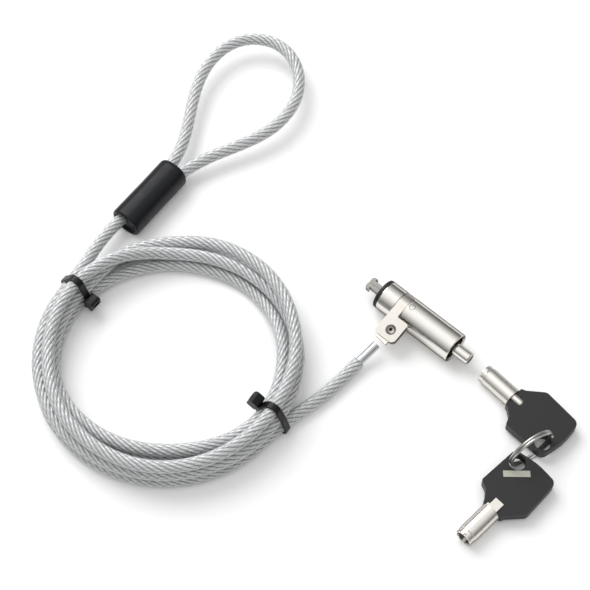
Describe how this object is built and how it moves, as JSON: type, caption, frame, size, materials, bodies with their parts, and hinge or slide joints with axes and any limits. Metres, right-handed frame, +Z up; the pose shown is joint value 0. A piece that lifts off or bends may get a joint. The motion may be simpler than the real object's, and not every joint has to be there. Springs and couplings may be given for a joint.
{
  "type": "laptop cable lock",
  "caption": "Laptop cable lock: push-to-lock barrel with spreading slot hooks, swivel collar, coiled steel cable with crimped loop, and two tubular keys on a split ring",
  "frame": {"origin": "centre of the rubber washer's front face, on the barrel's axis, where the lock meets the laptop's case", "axes": "+X along the barrel from the anchor hooks to the key end, +Z up from the surface that everything lies on, -Y towards the coiled cable"},
  "size_m": [0.2706, 0.2275, 0.0232],
  "materials": {
    "nickel": "bright nickel plate",
    "satin_nickel": "satin nickel plate",
    "steel": "plain bright steel",
    "brass": "turned brass",
    "rubber": "matt black rubber",
    "black_plastic": "moulded black plastic, fine texture",
    "sleeve_black": "black coated sleeve, slight gloss",
    "cable": "galvanised steel rope under a clear vinyl jacket"
  },
  "bodies": {
    "cable_set": {"cable_ferrule": "satin_nickel", "rope_end": "steel", "cable_tail": "cable", "cable_coil": "cable", "cable_lead": "cable", "loop_sleeve": "sleeve_black", "cable_loop": "cable", "tie_by_sleeve": "black_plastic", "tie_by_tail": "black_plastic"},
    "collar": {"collar_clip": "satin_nickel", "clip_rivet": "satin_nickel"},
    "barrel": {"face_washer": "rubber", "nose_shell": "nickel", "barrel_shell": "nickel", "anchor_base": "steel", "hook_pins": "steel", "core_housing": "brass", "retaining_pin": "nickel", "catch_pin": "steel", "catch_spring": "steel", "driver_pins": "brass", "driver_springs": "steel", "retaining_ring": "steel", "return_spring": "steel"},
    "plunger": {"plunger": "nickel"},
    "hook_near": {"hook_near": "steel"},
    "hook_far": {"hook_far": "steel"},
    "core": {"lock_rotor": "brass", "key_pins": "steel"},
    "key_1": {"key_1_tube": "nickel", "key_1_head": "black_plastic", "key_1_label": "nickel"},
    "ring": {"split_ring": "nickel"},
    "key_2": {"key_2_tube": "nickel", "key_2_head": "black_plastic", "key_2_label": "nickel"}
  },
  "joints": [
    {"name": "collar_swing", "type": "hinge", "parent": "cable_set", "child": "collar", "pos_m": [0.0163, -0.01341, 0.00215], "axis": [0, -0.2588, 0.9659], "range_deg": [-45, 12]},
    {"name": "barrel_turn", "type": "hinge", "parent": "collar", "child": "barrel", "pos_m": [0.0127, 0, 0], "axis": [1, 0, 0], "continuous": true},
    {"name": "plunger_push", "type": "slide", "parent": "barrel", "child": "plunger", "axis": [-1, 0, 0], "range_m": [0, 0.005], "stiffness_N_per_m": 600, "springref_m": -0.003, "deforming": ["return_spring"]},
    {"name": "hook_near_open", "type": "hinge", "parent": "barrel", "child": "hook_near", "pos_m": [0.007, -0.0026, 0], "axis": [0, 0, 1], "range_deg": [0, 6.5]},
    {"name": "hook_far_open", "type": "hinge", "parent": "barrel", "child": "hook_far", "pos_m": [0.007, 0.0026, 0], "axis": [0, 0, -1], "range_deg": [0, 6.5]},
    {"name": "core_turn", "type": "hinge", "parent": "barrel", "child": "core", "pos_m": [0.035, 0, 0], "axis": [1, 0, 0], "range_deg": [0, 90]},
    {"name": "key_1_lift", "type": "slide", "parent": "cable_set", "child": "key_1", "axis": [0, 0, 1], "range_m": [0, 0.04]},
    {"name": "ring_turn", "type": "hinge", "parent": "key_1", "child": "ring", "pos_m": [0.10062, -0.01789, 0.00367], "axis": [0.9638, -0.2665, 0], "continuous": true},
    {"name": "key_2_swing", "type": "hinge", "parent": "key_1", "child": "key_2", "pos_m": [0.10062, -0.01789, 0.00367], "axis": [-0.9638, 0.2665, 0], "range_deg": [0, 60]}
  ],
  "couplings": [
    {"joint": "hook_near_open", "follows": "plunger_push", "rad_per_m": 22.34},
    {"joint": "hook_far_open", "follows": "plunger_push", "rad_per_m": 22.34}
  ]
}
